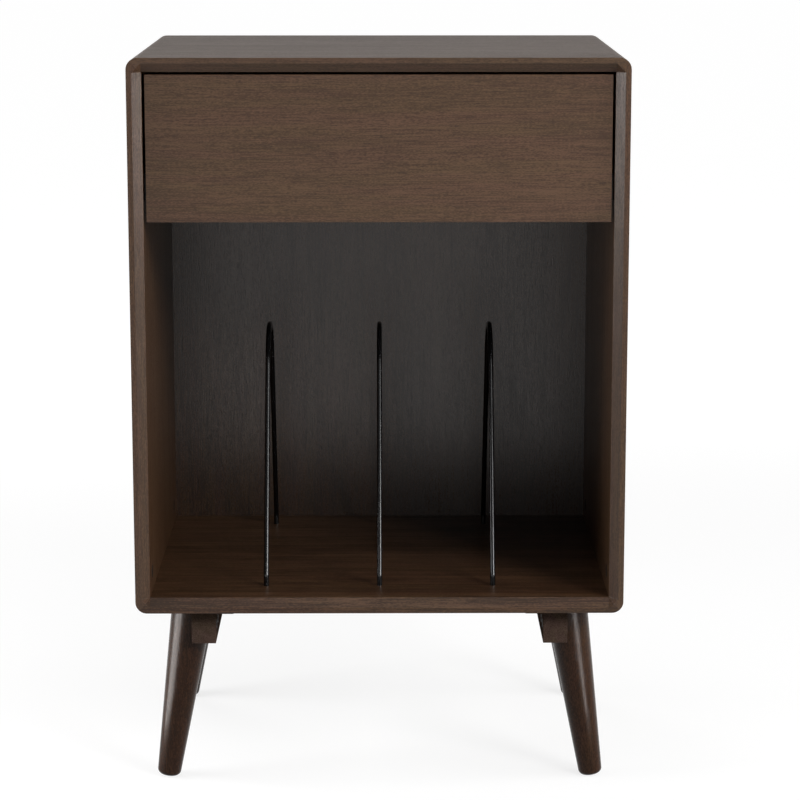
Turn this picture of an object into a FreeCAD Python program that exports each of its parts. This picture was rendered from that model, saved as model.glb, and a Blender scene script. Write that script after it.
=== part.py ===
import FreeCAD, Part
import math
import os
import Sketcher

# Turntable stand: a case on four splayed legs, with a drawer and three record dividers.
# Millimetres. X runs across the width, the front faces -Y, and Z is up from the floor.

SIZES = (
    # Case
    ("case_width", 550.0, "outside width"),
    ("case_depth", 420.0, "outside depth"),
    ("case_height", 623.0, "outside height without the legs"),
    ("leg_height", 207.0, "floor to the case's underside"),
    ("panel_thickness", 16.0, "the four case panels"),
    ("corner_radius", 13.0, "outer corners of the case, along its depth"),
    ("bevel_width", 10.0, "bevel on the inner front edges, seen from the front"),
    ("bevel_depth", 10.0, "the same bevel, front to back"),
    ("back_thickness", 5.0, "back panel"),
    ("back_inset", 3.0, "back panel's outer face to the case's back"),
    ("rabbet_width", 8.0, "rabbet that takes the back panel"),
    ("back_edge_room", 0.5, "back panel's edge to the rabbet's wall"),
    # Fittings of the case's corners
    ("cam_radius", 7.5, "cam of a corner fitting"),
    ("cam_depth", 12.5, "cam in a side panel"),
    ("cam_height", 22.0, "inner face of the next panel to the cam's centre"),
    ("cam_inset", 45.0, "case's front or back to the cam's centre"),
    ("cam_slot_width", 1.6, "screwdriver slot in a cam"),
    ("cam_slot_depth", 2.0, "the same slot"),
    ("joint_bolt_radius", 3.0, "bolt of a cam fitting"),
    ("joint_neck_radius", 1.6, "neck under the bolt's head"),
    ("joint_head_length", 3.0, "head of the bolt, in the cam"),
    ("corner_bolt_reach", 24.0, "corner of a bent bolt to its far end"),
    ("corner_dowel_radius", 3.0, "dowel across a mitre"),
    ("corner_dowel_length", 14.0, "dowel across a mitre"),
    ("corner_dowel_inset", 130.0, "case's front or back to the dowel"),
    # Screws of the back panel
    ("back_screw_radius", 1.5, "shank"),
    ("back_screw_reach", 10.0, "shank beyond the back panel"),
    ("back_screw_head_radius", 3.0, "head"),
    ("back_screw_head_height", 1.4, "head"),
    ("back_screw_inset", 60.0, "case's corner to the nearest screw"),
    # Drawer
    ("drawer_gap", 3.0, "gap at the drawer front's sides and top"),
    ("drawer_front_height", 162.0, "drawer front"),
    ("drawer_front_thickness", 16.0, "drawer front"),
    ("drawer_front_recess", 12.0, "case's front to the drawer front's face"),
    ("finger_overhang", 22.0, "drawer front's lower edge below the drawer's sides"),
    ("drawer_length", 350.0, "drawer sides, front to back"),
    ("drawer_side_thickness", 12.0, "drawer sides"),
    ("drawer_side_height", 110.0, "drawer sides and back"),
    ("drawer_back_thickness", 12.0, "drawer back"),
    ("drawer_bottom_thickness", 5.0, "drawer bottom"),
    ("drawer_bottom_rise", 8.0, "lower edge of the sides to the drawer bottom"),
    ("groove_depth", 5.0, "groove that takes the drawer bottom"),
    ("groove_room", 0.3, "drawer bottom's edge to the groove's end"),
    # Fittings of the drawer
    ("drawer_cam_depth", 9.5, "cam in a drawer side"),
    ("drawer_cam_setback", 24.0, "drawer front's back face to the cam's centre"),
    ("drawer_cam_spacing", 52.0, "between the two cams of a side"),
    ("drawer_bolt_reach", 10.0, "cam bolt into the drawer front"),
    ("drawer_dowel_radius", 3.0, "dowel between drawer front and side"),
    ("drawer_dowel_length", 30.0, "dowel between drawer front and side"),
    ("drawer_screw_radius", 2.5, "screw into the drawer back's end"),
    ("drawer_screw_reach", 28.0, "screw beyond the drawer side"),
    ("drawer_screw_head_radius", 4.0, "countersunk head"),
    ("drawer_screw_spacing", 56.0, "between the two screws of a side"),
    # Drawer slides
    ("slide_thickness", 1.2, "sheet metal of the channels and runners"),
    ("slide_gap", 1.2, "flange's edge to the other half of the slide"),
    ("channel_length", 350.0, "channel on the case"),
    ("channel_setback", 4.0, "drawer front's back face to the channel"),
    ("roller_radius", 12.0, "rollers"),
    ("roller_width", 6.6, "rollers"),
    ("roller_edge", 0.8, "bevel on a roller's rim"),
    ("roller_gap", 0.3, "roller to the track it runs on"),
    ("runner_upper_gap", 1.2, "runner's flange to the channel's upper flange"),
    ("channel_roller_inset", 16.0, "channel's front end to its roller's axis"),
    ("runner_roller_inset", 14.0, "runner's rear end to its roller's axis"),
    ("pin_radius", 2.5, "pin of a roller"),
    ("pin_head_radius", 4.0, "head and shoulder of a pin"),
    ("pin_head_height", 1.0, "head of a pin"),
    ("pin_shoulder", 0.8, "shoulder between sheet and roller"),
    ("pin_play", 0.1, "roller's side to the pin's head"),
    ("running_clearance", 0.05, "roller's bore round its pin"),
    ("slide_screw_radius", 1.75, "shank"),
    ("slide_screw_length", 9.0, "shank beyond the sheet"),
    ("slide_screw_head_radius", 3.4, "head"),
    ("slide_screw_head_height", 1.5, "head"),
    ("slide_screw_room", 0.6, "screw's head to the pin that passes it"),
    ("slide_screw_spacing", 115.0, "along the slide"),
    ("runner_screw_rise", 20.0, "lower edge of the drawer side to the runner's screws"),
    # Record dividers
    ("outer_bay_width", 129.0, "side panel's inner face to the nearest divider's middle"),
    ("divider_setback", 5.0, "case's middle to the divider's middle, towards the back"),
    ("divider_height", 279.0, "compartment floor to the rod's centre at the top"),
    ("divider_spread", 304.0, "between the upright ends of a rod"),
    ("divider_bend_radius", 62.0, "bend at the top, to the rod's centre"),
    ("divider_foot_height", 11.0, "compartment floor to the bend above an upright end"),
    ("divider_foot_radius", 8.0, "the same bend, to the rod's centre"),
    ("rod_radius", 3.0, "divider's rod"),
    ("socket_depth", 10.0, "rod's end below the compartment floor"),
    # Legs and rails
    ("leg_spread", 31.2, "sideways run of a leg's axis over the leg height"),
    ("leg_top_radius", 24.25, "leg at the case's underside"),
    ("leg_foot_radius", 13.25, "leg at the foot"),
    ("foot_edge_radius", 6.0, "rounding of the foot's edge"),
    ("leg_axis_inset", 61.5, "case's side to the leg's axis, at the underside"),
    ("leg_end_inset", 52.0, "case's front or back to the leg's axis"),
    ("rail_width", 27.4, "leg rail"),
    ("rail_height", 34.5, "leg rail"),
    ("rail_end_inset", 20.0, "case's front or back to the rail's end"),
    ("plate_width", 47.7, "plate between rail and case"),
    ("plate_thickness", 6.0, "plate between rail and case"),
    ("leg_bolt_radius", 3.0, "bolt through the rail into the leg"),
    ("leg_bolt_grip", 14.0, "bolt's length in the insert"),
    ("leg_bolt_head_radius", 5.25, "head"),
    ("leg_bolt_head_height", 4.0, "head, sunk flush in the rail"),
    ("leg_bolt_spacing", 22.0, "between the two bolts of a leg"),
    ("insert_radius", 4.5, "threaded insert in the leg"),
    ("insert_length", 15.0, "threaded insert in the leg"),
    ("plate_screw_radius", 2.0, "shank, also of the screws into the rail"),
    ("plate_screw_reach", 10.0, "shank beyond the plate, in the case"),
    ("plate_screw_head_radius", 4.0, "head, also of the screws into the rail"),
    ("plate_screw_inset", 32.5, "plate's end to the nearest screw into the case"),
    ("rail_screw_reach", 24.0, "shank beyond the plate, in the rail"),
    ("rail_screw_inset", 110.0, "plate's end to the nearest screw into the rail"),
    # Fits and cuts
    ("fit_clearance", 0.05, "hole round a pin, screw or bolt that stays put"),
    ("cut_overrun", 5.0, "how far a cut runs past the face it leaves"),
)

doc = FreeCAD.newDocument("turntable_stand")
sheet = doc.addObject("Spreadsheet::Sheet", "dims")
for row, (alias, number, meaning) in enumerate(SIZES, start=1):
    sheet.set(f"A{row}", meaning)
    sheet.set(f"B{row}", str(number))
    sheet.setAlias(f"B{row}", alias)
doc.recompute()

X_AXIS = FreeCAD.Vector(1, 0, 0)
Y_AXIS = FreeCAD.Vector(0, 1, 0)
Z_AXIS = FreeCAD.Vector(0, 0, 1)
QUARTER_TURN = 90
HALF_TURN = 180

# Places that several pieces share, as expressions on the sheet
FRONT = "(-dims.case_depth / 2)"
BACK = "(dims.case_depth / 2)"
UNDERSIDE = "dims.leg_height"
FLOOR = "(dims.leg_height + dims.panel_thickness)"
TOP = "(dims.leg_height + dims.case_height)"
CEILING = f"({TOP} - dims.panel_thickness)"
OUTER = "(dims.case_width / 2)"
INNER = f"({OUTER} - dims.panel_thickness)"
BACK_FACE = f"({BACK} - dims.back_inset - dims.back_thickness)"

DRAWER_FACE = f"({FRONT} + dims.drawer_front_recess)"
DRAWER_START = f"({DRAWER_FACE} + dims.drawer_front_thickness)"
DRAWER_END = f"({DRAWER_START} + dims.drawer_length)"
DRAWER_FRONT_BASE = f"({CEILING} - dims.drawer_gap - dims.drawer_front_height)"
DRAWER_BASE = f"({DRAWER_FRONT_BASE} + dims.finger_overhang)"
DRAWER_MIDDLE = f"({DRAWER_BASE} + dims.drawer_side_height / 2)"
DRAWER_BOTTOM_BASE = f"({DRAWER_BASE} + dims.drawer_bottom_rise)"

# Across a slide: sheet, screw head, room, pin head, play, roller, shoulder, sheet
SLIDE_ROOM = (
    "(2 * dims.slide_thickness + dims.slide_screw_head_height + dims.slide_screw_room"
    " + dims.pin_head_height + dims.pin_play + dims.roller_width + dims.pin_shoulder)"
)
DRAWER_OUTER = f"({INNER} - {SLIDE_ROOM})"
DRAWER_INNER = f"({DRAWER_OUTER} - dims.drawer_side_thickness)"

# Up a slide: sheet, gap, roller, gap, runner's flange, headroom, sheet
ROLLER_AXIS_Z = f"({DRAWER_BASE} + dims.slide_thickness + dims.roller_gap + dims.roller_radius)"
RUNNER_FLANGE_Z = f"({ROLLER_AXIS_Z} + dims.roller_radius + dims.roller_gap)"
CHANNEL_TOP = f"({RUNNER_FLANGE_Z} + 2 * dims.slide_thickness + dims.runner_upper_gap)"
CHANNEL_START = f"({DRAWER_START} + dims.channel_setback)"
CHANNEL_ROLLER_Y = f"({CHANNEL_START} + dims.channel_roller_inset)"
RUNNER_ROLLER_Y = f"({DRAWER_END} - dims.runner_roller_inset)"

RAIL_OUTER = f"({OUTER} - dims.leg_axis_inset)"
RAIL_INNER = f"({RAIL_OUTER} - dims.rail_width)"
PLATE_INNER = f"({RAIL_OUTER} - dims.plate_width)"
PLATE_BASE = f"({UNDERSIDE} - dims.plate_thickness)"
RAIL_BASE = f"({PLATE_BASE} - dims.rail_height)"
RAIL_LENGTH = "(dims.case_depth - 2 * dims.rail_end_inset)"
LEG_Y = f"({BACK} - dims.leg_end_inset)"

# A leg's taper is its gain in radius per length, and its foot stands on the rounded edge
SPLAY = "atan(dims.leg_spread / dims.leg_height)"
TAPER = f"((dims.leg_top_radius - dims.leg_foot_radius) * cos({SPLAY}) / dims.leg_height)"
FOOT_EDGE_CENTRE = f"(dims.leg_foot_radius + dims.foot_edge_radius * ({TAPER} - sqrt(1 + {TAPER} ^ 2)))"
FOOT_Z = f"(dims.foot_edge_radius * (1 - cos({SPLAY})) + {FOOT_EDGE_CENTRE} * sin({SPLAY}))"
FOOT_X = f"({RAIL_OUTER} + (dims.leg_height - {FOOT_Z}) * tan({SPLAY}))"
LEG_BLANK_LENGTH = (
    f"((dims.leg_height - {FOOT_Z}) / cos({SPLAY}) + dims.leg_top_radius * tan({SPLAY})"
    " + dims.cut_overrun)"
)


def value(text):
    """The number that an expression on the sheet comes to."""
    return float(sheet.evalExpression(text))


def point(x, y, z):
    """A point from three expressions."""
    return FreeCAD.Vector(value(x), value(y), value(z))


def bind(thing, **expressions):
    """Ties properties to expressions on the sheet."""
    for name, text in expressions.items():
        thing.setExpression(name, text)


def place(thing, x, y, z):
    """Ties a piece's position to three expressions."""
    bind(thing, **{"Placement.Base.x": x, "Placement.Base.y": y, "Placement.Base.z": z})


def turn(thing, axis, angle):
    """Turns a piece about an axis through its own origin."""
    thing.Placement = FreeCAD.Placement(FreeCAD.Vector(), FreeCAD.Rotation(axis, angle))


def block(label, low, high):
    """A straight block between two corners, each three expressions."""
    thing = doc.addObject("Part::Box", label)
    sides = [f"({far}) - ({near})" for near, far in zip(low, high)]
    bind(thing, Length=sides[0], Width=sides[1], Height=sides[2])
    place(thing, *low)
    return thing


def rod(label, radius, length, start, axis=Z_AXIS):
    """A round bar of a given length from a start point along an axis."""
    thing = doc.addObject("Part::Cylinder", label)
    thing.Placement = FreeCAD.Placement(FreeCAD.Vector(), FreeCAD.Rotation(Z_AXIS, axis))
    bind(thing, Radius=radius, Height=length)
    place(thing, *start)
    return thing


def cut(label, base, *tools):
    """A piece with one or more tools cut out of it, in turn."""
    for count, tool in enumerate(tools, start=1):
        thing = doc.addObject("Part::Cut", label if count == len(tools) else f"{label}_cut_{count}")
        thing.Base = base
        thing.Tool = tool
        base = thing
    return base


def fuse(label, *pieces):
    """Several overlapping pieces as one."""
    thing = doc.addObject("Part::MultiFuse", label)
    thing.Shapes = list(pieces)
    return thing


def origin_plane(body, role):
    """One of a body's own three planes."""
    return next(feature for feature in body.Origin.OriginFeatures if feature.Role == role)


def new_body(label):
    return doc.addObject("PartDesign::Body", label)


def new_sketch(body, role):
    """An empty sketch on one of a body's own planes."""
    sketch = body.newObject("Sketcher::SketchObject", f"{body.Name}_sketch")
    sketch.AttachmentSupport = [(origin_plane(body, role), "")]
    sketch.MapMode = "FlatFace"
    return sketch


def constrain(sketch, kind, *where, text):
    """A dimension of a sketch, tied to an expression."""
    index = sketch.addConstraint(Sketcher.Constraint(kind, *where, value(text)))
    sketch.setExpression(f"Constraints[{index}]", text)


def draw_outline(sketch, corners):
    """A closed outline of straight sides, each corner tied to two expressions."""
    points = [FreeCAD.Vector(value(across), value(up), 0) for across, up in corners]
    following = points[1:] + points[:1]
    for start, end in zip(points, following):
        sketch.addGeometry(Part.LineSegment(start, end))
    for side in range(len(corners)):
        sketch.addConstraint(Sketcher.Constraint("Coincident", side, 2, (side + 1) % len(corners), 1))
    for side, (across, up) in enumerate(corners):
        constrain(sketch, "DistanceX", -1, 1, side, 1, text=across)
        constrain(sketch, "DistanceY", -1, 1, side, 1, text=up)


def padded(label, role, corners, length):
    """An outline on one of the body's planes, padded evenly to both sides of it."""
    body = new_body(label)
    sketch = new_sketch(body, role)
    draw_outline(sketch, corners)
    pad = body.newObject("PartDesign::Pad", f"{label}_pad")
    pad.Profile = sketch
    pad.SideType = "Symmetric"
    bind(pad, Length=length)
    return body


def turned(label, corners):
    """A half outline (radius, height) turned about the body's Z axis."""
    body = new_body(label)
    sketch = new_sketch(body, "XZ_Plane")
    draw_outline(sketch, corners)
    revolution = body.newObject("PartDesign::Revolution", f"{label}_revolution")
    revolution.Profile = sketch
    revolution.ReferenceAxis = (sketch, ["V_Axis"])
    return body


def round_edges(body, radius, wanted):
    """Rounds the edges of a body that a test picks."""
    doc.recompute()
    names = [f"Edge{count}" for count, edge in enumerate(body.Shape.Edges, start=1) if wanted(edge)]
    base = body.Tip
    fillet = body.newObject("PartDesign::Fillet", f"{body.Name}_fillet")
    fillet.Base = (base, names)
    bind(fillet, Radius=radius)


def group(label, pattern, places):
    """Separate copies of one piece, as one node."""
    doc.recompute()
    node = doc.addObject("Part::Feature", label)
    copies = []
    for placement in places:
        copy = pattern.Shape.copy()
        copy.transformShape(placement.toMatrix())
        copies.append(copy)
    node.Shape = Part.makeCompound(copies)
    return node


def spot(x, y, z, rotation=FreeCAD.Rotation()):
    """A place for a copy: a point from three expressions, and a turn."""
    return FreeCAD.Placement(point(x, y, z), rotation)


nodes = {}


def keep(node):
    """Lists a finished sub-part under its label."""
    nodes[node.Label] = node
    return node


# Screws and bolts: each is turned about Z, with its head up and its shank down from zero.
# With room, the same outline is the hole that it goes in.
def screw(label, radius, length, head_radius, head_height, room="0"):
    """A screw whose head stands on the surface."""
    return turned(label, (
        ("0", f"-({length})"),
        (f"{radius} + {room}", f"-({length})"),
        (f"{radius} + {room}", "0"),
        (f"{head_radius} + {room}", "0"),
        (f"{head_radius} + {room}", head_height),
        ("0", head_height),
    ))


def countersunk_screw(label, radius, length, head_radius, room="0"):
    """A screw whose head lies flush in the surface."""
    return turned(label, (
        ("0", f"-({length})"),
        (f"{radius} + {room}", f"-({length})"),
        (f"{radius} + {room}", f"-({head_radius} - {radius})"),
        (f"{head_radius} + {room}", "0"),
        ("0", "0"),
    ))


def fastener(label, make, places, *sizes):
    """A group of screws, and the group of holes that they go in."""
    screws = keep(group(label, make(f"{label}_pattern", *sizes), places))
    holes = group(f"{label}_holes", make(f"{label}_hole", *sizes, room="dims.fit_clearance"), places)
    return screws, holes


def steps(spacing, count):
    """Even places along a line, about zero, as expressions."""
    return [f"({spacing} * {index - (count - 1) / 2})" for index in range(count)]


def spread(length, inset, count):
    """Even places along a line, about zero, the outer two an inset from its ends."""
    return steps(f"(({length} - 2 * {inset}) / {count - 1})", count)


# Cam fittings: the cam's face lies at the origin and faces +X, and its bolt leaves along -Z
def cam(label, depth, axis_depth):
    """A slotted cam with the pocket that holds the bolt's head."""
    drum = rod(f"{label}_drum", "dims.cam_radius", depth, (f"-({depth})", "0", "0"), X_AXIS)
    pocket = rod(
        f"{label}_pocket",
        "dims.joint_bolt_radius + dims.fit_clearance",
        "dims.cam_radius + dims.joint_head_length",
        (f"-({axis_depth})", "0", "-dims.cam_radius"),
    )
    slot = block(
        f"{label}_slot",
        ("-dims.cam_slot_depth", "-dims.cam_slot_width / 2", "-dims.cam_radius"),
        ("dims.cut_overrun", "dims.cam_slot_width / 2", "dims.cam_radius"),
    )
    return cut(label, drum, pocket, slot)


def cam_bolt(label, axis_depth, length, room="0"):
    """A straight bolt: head and neck in the cam, then the shank to its far end."""
    body = turned(label, (
        ("0", "dims.joint_head_length"),
        (f"dims.joint_bolt_radius + {room}", "dims.joint_head_length"),
        (f"dims.joint_bolt_radius + {room}", "0"),
        (f"dims.joint_neck_radius + {room}", "0"),
        (f"dims.joint_neck_radius + {room}", "-dims.cam_radius"),
        (f"dims.joint_bolt_radius + {room}", "-dims.cam_radius"),
        (f"dims.joint_bolt_radius + {room}", f"-({length})"),
        ("0", f"-({length})"),
    ))
    place(body, f"-({axis_depth})", "0", "0")
    return body


def bent_bolt(label, room="0"):
    """A bolt for a mitred corner: down from the cam to the mitre, then across into the next panel."""
    axis_depth = "dims.panel_thickness / 2"
    drop = "dims.cam_height + dims.panel_thickness / 2"
    upright = cam_bolt(f"{label}_upright", axis_depth, drop, room)
    radius = f"dims.joint_bolt_radius + {room}"
    knuckle = doc.addObject("Part::Sphere", f"{label}_knuckle")
    bind(knuckle, Radius=radius)
    place(knuckle, f"-({axis_depth})", "0", f"-({drop})")
    across = rod(
        f"{label}_across", radius, "dims.corner_bolt_reach",
        (f"-({axis_depth})", "0", f"-({drop})"), X_AXIS,
    )
    return fuse(label, upright, knuckle, across)


# The case's four corners follow from the lower left one by half turns about the case's centre
def corner_spots(y_places, x, z, rotation=FreeCAD.Rotation()):
    """The same fitting in all four corners, at each place along the depth."""
    centre = point("0", "0", f"({UNDERSIDE} + {TOP}) / 2")
    turns = [FreeCAD.Rotation()] + [FreeCAD.Rotation(axis, HALF_TURN) for axis in (X_AXIS, Y_AXIS, Z_AXIS)]
    return [
        FreeCAD.Placement(centre, half_turn)
        * FreeCAD.Placement(-centre, FreeCAD.Rotation())
        * spot(x, y, z, rotation)
        for half_turn in turns
        for y in y_places
    ]


def corner_fittings():
    """Cams, bent bolts and dowels of the mitred corners, and their bores."""
    ends = (f"({FRONT} + dims.cam_inset)", f"({BACK} - dims.cam_inset)")
    cams = corner_spots(ends, f"-{INNER}", f"{FLOOR} + dims.cam_height")
    keep(group("corner_cams", cam("corner_cam", "dims.cam_depth", "dims.panel_thickness / 2"), cams))
    keep(group("corner_bolts", bent_bolt("corner_bolt"), cams))
    cam_bore = rod(
        "cam_bore", "dims.cam_radius + dims.fit_clearance", "dims.cam_depth + dims.cut_overrun",
        ("-dims.cam_depth", "0", "0"), X_AXIS,
    )
    bolt_bore = bent_bolt("corner_bolt_bore", "dims.fit_clearance")
    fitting_bore = fuse("corner_fitting_bore", cam_bore, bolt_bore)

    dowel_ends = (f"({FRONT} + dims.corner_dowel_inset)", f"({BACK} - dims.corner_dowel_inset)")
    across_mitre = FreeCAD.Rotation(Z_AXIS, FreeCAD.Vector(1, 0, -1))
    dowels = corner_spots(
        dowel_ends, f"-({OUTER} - dims.panel_thickness / 2)", f"({UNDERSIDE} + dims.panel_thickness / 2)",
        across_mitre,
    )
    middle = ("0", "0", "-dims.corner_dowel_length / 2")
    dowel = rod("corner_dowel", "dims.corner_dowel_radius", "dims.corner_dowel_length", middle)
    keep(group("corner_dowels", dowel, dowels))
    dowel_bore = rod(
        "corner_dowel_bore", "dims.corner_dowel_radius + dims.fit_clearance",
        "dims.corner_dowel_length", middle,
    )
    return (
        group("corner_fitting_bores", fitting_bore, cams),
        group("corner_dowel_bores", dowel_bore, dowels),
    )


def back_screws():
    """Screws round the back panel, into the rabbet's ledge."""
    into_back = FreeCAD.Rotation(Z_AXIS, Y_AXIS)
    head_y = f"({BACK} - dims.back_inset)"
    x_edge = f"({INNER} + dims.rabbet_width / 2)"
    low_edge = f"({FLOOR} - dims.rabbet_width / 2)"
    high_edge = f"({CEILING} + dims.rabbet_width / 2)"
    x_reach = f"({OUTER} - dims.back_screw_inset)"
    z_middle = f"(({UNDERSIDE} + {TOP}) / 2)"
    z_reach = "(dims.case_height / 2 - dims.back_screw_inset)"
    side_shares = (-1, -1 / 3, 1 / 3, 1)
    level_shares = (-1, 0, 1)
    places = [
        spot(f"{side} * {x_edge}", head_y, f"{z_middle} + {share} * {z_reach}", into_back)
        for side in (-1, 1)
        for share in side_shares
    ] + [
        spot(f"{share} * {x_reach}", head_y, edge, into_back)
        for edge in (low_edge, high_edge)
        for share in level_shares
    ]
    return fastener(
        "back_panel_screws", screw, places,
        "dims.back_screw_radius", "dims.back_thickness + dims.back_screw_reach",
        "dims.back_screw_head_radius", "dims.back_screw_head_height",
    )[1]


# Record dividers
def divider_rod(label, x, radius):
    """A rod bent into an upturned V with a round top, its upright ends below the compartment floor."""
    body = new_body(label)
    path = new_sketch(body, "YZ_Plane")
    reach = value("dims.divider_spread / 2")
    low = value("dims.socket_depth")
    crown = value("dims.divider_bend_radius")
    crown_z = value("dims.divider_height - dims.divider_bend_radius")
    ankle = value("dims.divider_foot_radius")
    ankle_y = reach - ankle
    ankle_z = value("dims.divider_foot_height")
    rise = crown_z - ankle_z
    lean = math.atan2(ankle_y, rise) - math.asin((crown - ankle) / math.hypot(ankle_y, rise))
    foot = FreeCAD.Vector(reach, -low, 0)
    knee = FreeCAD.Vector(reach, ankle_z, 0)
    lower = FreeCAD.Vector(ankle_y + ankle * math.cos(lean), ankle_z + ankle * math.sin(lean), 0)
    upper = FreeCAD.Vector(crown * math.cos(lean), crown_z + crown * math.sin(lean), 0)
    front_foot, front_knee, front_lower, front_upper = (
        FreeCAD.Vector(-corner.x, corner.y, 0) for corner in (foot, knee, lower, upper)
    )
    front_bend = Part.Circle(FreeCAD.Vector(-ankle_y, ankle_z, 0), Z_AXIS, ankle)
    top_bend = Part.Circle(FreeCAD.Vector(0, crown_z, 0), Z_AXIS, crown)
    rear_bend = Part.Circle(FreeCAD.Vector(ankle_y, ankle_z, 0), Z_AXIS, ankle)
    for piece in (
        Part.LineSegment(front_foot, front_knee),
        Part.ArcOfCircle(front_bend, math.pi - lean, math.pi),
        Part.LineSegment(front_lower, front_upper),
        Part.ArcOfCircle(top_bend, lean, math.pi - lean),
        Part.LineSegment(upper, lower),
        Part.ArcOfCircle(rear_bend, 0, lean),
        Part.LineSegment(knee, foot),
    ):
        path.addGeometry(piece)
    # Each line's end, then the end of the bend that it runs into
    for joint in ((0, 2, 1, 2), (2, 1, 1, 1), (2, 2, 3, 2), (4, 1, 3, 1), (4, 2, 5, 2), (6, 1, 5, 1)):
        path.addConstraint(Sketcher.Constraint("Tangent", *joint))
    path.addConstraint(Sketcher.Constraint("Vertical", 0))
    path.addConstraint(Sketcher.Constraint("Vertical", 6))
    path.addConstraint(Sketcher.Constraint("PointOnObject", 3, 3, -2))
    constrain(path, "Radius", 3, text="dims.divider_bend_radius")
    constrain(path, "DistanceY", -1, 1, 3, 3, text="dims.divider_height - dims.divider_bend_radius")
    for bend in (1, 5):
        constrain(path, "Radius", bend, text="dims.divider_foot_radius")
        constrain(path, "DistanceY", -1, 1, bend, 3, text="dims.divider_foot_height")
    constrain(path, "DistanceX", -1, 1, 0, 1, text="-dims.divider_spread / 2")
    constrain(path, "DistanceY", -1, 1, 0, 1, text="-dims.socket_depth")
    constrain(path, "DistanceX", -1, 1, 6, 2, text="dims.divider_spread / 2")
    constrain(path, "DistanceY", -1, 1, 6, 2, text="-dims.socket_depth")

    section = body.newObject("Sketcher::SketchObject", f"{label}_section")
    section.AttachmentSupport = [(path, "Edge1")]
    section.MapMode = "NormalToEdge"
    section.addGeometry(Part.Circle(FreeCAD.Vector(), Z_AXIS, value(radius)))
    section.addConstraint(Sketcher.Constraint("Coincident", 0, 3, -1, 1))
    constrain(section, "Radius", 0, text=radius)
    pipe = body.newObject("PartDesign::AdditivePipe", f"{label}_pipe")
    pipe.Profile = section
    pipe.Spine = path
    place(body, x, "dims.divider_setback", FLOOR)
    return body


def dividers():
    """The three dividers, and the sockets that their ends stand in."""
    outer_x = f"({INNER} - dims.outer_bay_width)"
    places = (("left", f"-{outer_x}"), ("centre", "0"), ("right", outer_x))
    socket_radius = "dims.rod_radius + dims.fit_clearance"
    for side, x in places:
        keep(divider_rod(f"record_divider_{side}", x, "dims.rod_radius"))
    return [divider_rod(f"divider_sockets_{side}", x, socket_radius) for side, x in places]


# Case
def front_bevel():
    """The cutter for the inner front edges: a bevel along each side and a facet in each corner."""
    width = value("dims.bevel_width")
    front = value(FRONT)
    inside = value(f"{FRONT} + dims.bevel_depth")
    x = value(INNER)
    low, high = value(FLOOR), value(CEILING)
    corners = ((-x, low, -1, -1), (x, low, 1, -1), (x, high, 1, 1), (-x, high, -1, 1))
    deep = [FreeCAD.Vector(cx, inside, cz) for cx, cz, _, _ in corners]
    beside = [FreeCAD.Vector(cx + sx * width, front, cz) for cx, cz, sx, _ in corners]
    above = [FreeCAD.Vector(cx, front, cz + sz * width) for cx, cz, _, sz in corners]
    bevels = [
        (above[0], above[1], deep[1], deep[0]),
        (beside[1], beside[2], deep[2], deep[1]),
        (above[2], above[3], deep[3], deep[2]),
        (beside[3], beside[0], deep[0], deep[3]),
    ]
    facets = list(zip(beside, above, deep))
    opening = (
        above[0], above[1], beside[1], beside[2], above[2], above[3], beside[3], beside[0],
    )
    faces = [Part.Face(Part.makePolygon([*loop, loop[0]])) for loop in (*bevels, *facets, opening, deep)]
    shell = Part.makeShell(faces)
    shell.sewShape()
    cutter = doc.addObject("Part::Feature", "front_bevel")
    solid = Part.makeSolid(shell)
    if solid.Volume < 0:
        solid.reverse()
    cutter.Shape = solid
    return cutter


def case_panels(shared_bores, divider_sockets, plate_holes, channel_holes):
    """Four mitred panels, rounded outside, bevelled in front and rabbeted at the back."""
    envelope = padded("case_envelope", "XZ_Plane", (
        (f"-{OUTER}", UNDERSIDE), (OUTER, UNDERSIDE), (OUTER, TOP), (f"-{OUTER}", TOP),
    ), "dims.case_depth")
    half_depth = value("dims.case_depth / 2")
    round_edges(envelope, "dims.corner_radius", lambda edge: edge.BoundBox.YLength > half_depth)
    bevel = front_bevel()
    rabbet_x = f"({INNER} + dims.rabbet_width)"
    rabbet = block(
        "back_rabbet",
        (f"-{rabbet_x}", BACK_FACE, f"{FLOOR} - dims.rabbet_width"),
        (rabbet_x, f"{BACK} + dims.cut_overrun", f"{CEILING} + dims.rabbet_width"),
    )
    outlines = {
        "bottom_panel": (
            (f"-{OUTER}", UNDERSIDE), (OUTER, UNDERSIDE), (INNER, FLOOR), (f"-{INNER}", FLOOR),
        ),
        "right_side_panel": (
            (OUTER, UNDERSIDE), (OUTER, TOP), (INNER, CEILING), (INNER, FLOOR),
        ),
        "top_panel": (
            (OUTER, TOP), (f"-{OUTER}", TOP), (f"-{INNER}", CEILING), (INNER, CEILING),
        ),
        "left_side_panel": (
            (f"-{OUTER}", TOP), (f"-{OUTER}", UNDERSIDE), (f"-{INNER}", FLOOR), (f"-{INNER}", CEILING),
        ),
    }
    own_bores = {
        "bottom_panel": (*divider_sockets, plate_holes),
        "top_panel": (),
        "left_side_panel": (channel_holes,),
        "right_side_panel": (channel_holes,),
    }
    for label, corners in outlines.items():
        blank = padded(f"{label}_blank", "XZ_Plane", corners, "dims.case_depth")
        rounded = doc.addObject("Part::MultiCommon", f"{label}_rounded")
        rounded.Shapes = [blank, envelope]
        keep(cut(label, rounded, bevel, rabbet, *shared_bores, *own_bores[label]))


def back_panel(holes):
    """The thin panel in the rabbet."""
    edge = "(dims.rabbet_width - dims.back_edge_room)"
    blank = block(
        "back_panel_blank",
        (f"-({INNER} + {edge})", BACK_FACE, f"{FLOOR} - {edge}"),
        (f"{INNER} + {edge}", f"{BACK_FACE} + dims.back_thickness", f"{CEILING} + {edge}"),
    )
    keep(cut("back_panel", blank, holes))


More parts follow.
